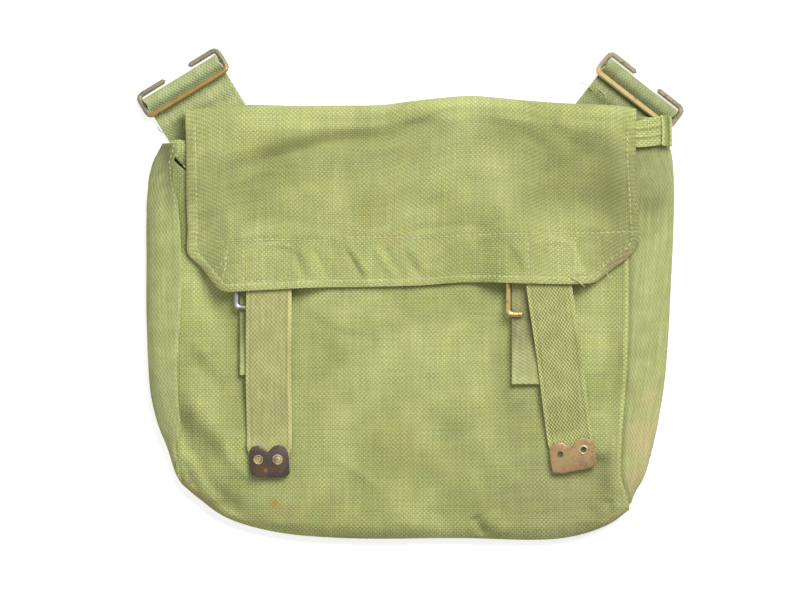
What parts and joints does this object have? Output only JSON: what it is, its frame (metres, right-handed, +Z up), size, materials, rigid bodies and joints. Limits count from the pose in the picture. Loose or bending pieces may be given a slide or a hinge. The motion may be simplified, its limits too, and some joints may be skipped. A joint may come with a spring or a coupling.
{
  "type": "canvas haversack",
  "caption": "Small green canvas haversack lying on its back, with a fold-over flap, web gusset, web straps with brass tips over split-bar buckles, and brass hooks on web tabs.",
  "frame": {"origin": "on the surface it lies on, under the middle of the whole bag, hooks included", "axes": "+X across the bag to the right as seen from above, +Y towards the folded top and the hooks, +Z up from the surface, out of the front panel"},
  "size_m": [0.3072, 0.2754, 0.0208],
  "materials": {
    "canvas": "matt plain weave, washed and faded",
    "gusset_web": "matt close web",
    "strap_web": "matt close web, sun-tanned",
    "brass": "tarnished, worn bright on the edges",
    "bright_brass": "worn bright",
    "worn_steel": "dull grey with bright wear"
  },
  "bodies": {
    "root": {"back_and_flap": "canvas", "front_panel": "canvas", "gusset": "gusset_web", "tab_left": "gusset_web", "tab_right": "gusset_web", "hook_left": "brass", "hook_right": "brass", "chape_left": "gusset_web", "chape_right": "gusset_web", "buckle_left": "worn_steel", "buckle_right": "bright_brass", "strap_left": "strap_web", "strap_right": "strap_web", "strap_tip_left": "brass", "strap_tip_right": "brass"}
  },
  "joints": []
}
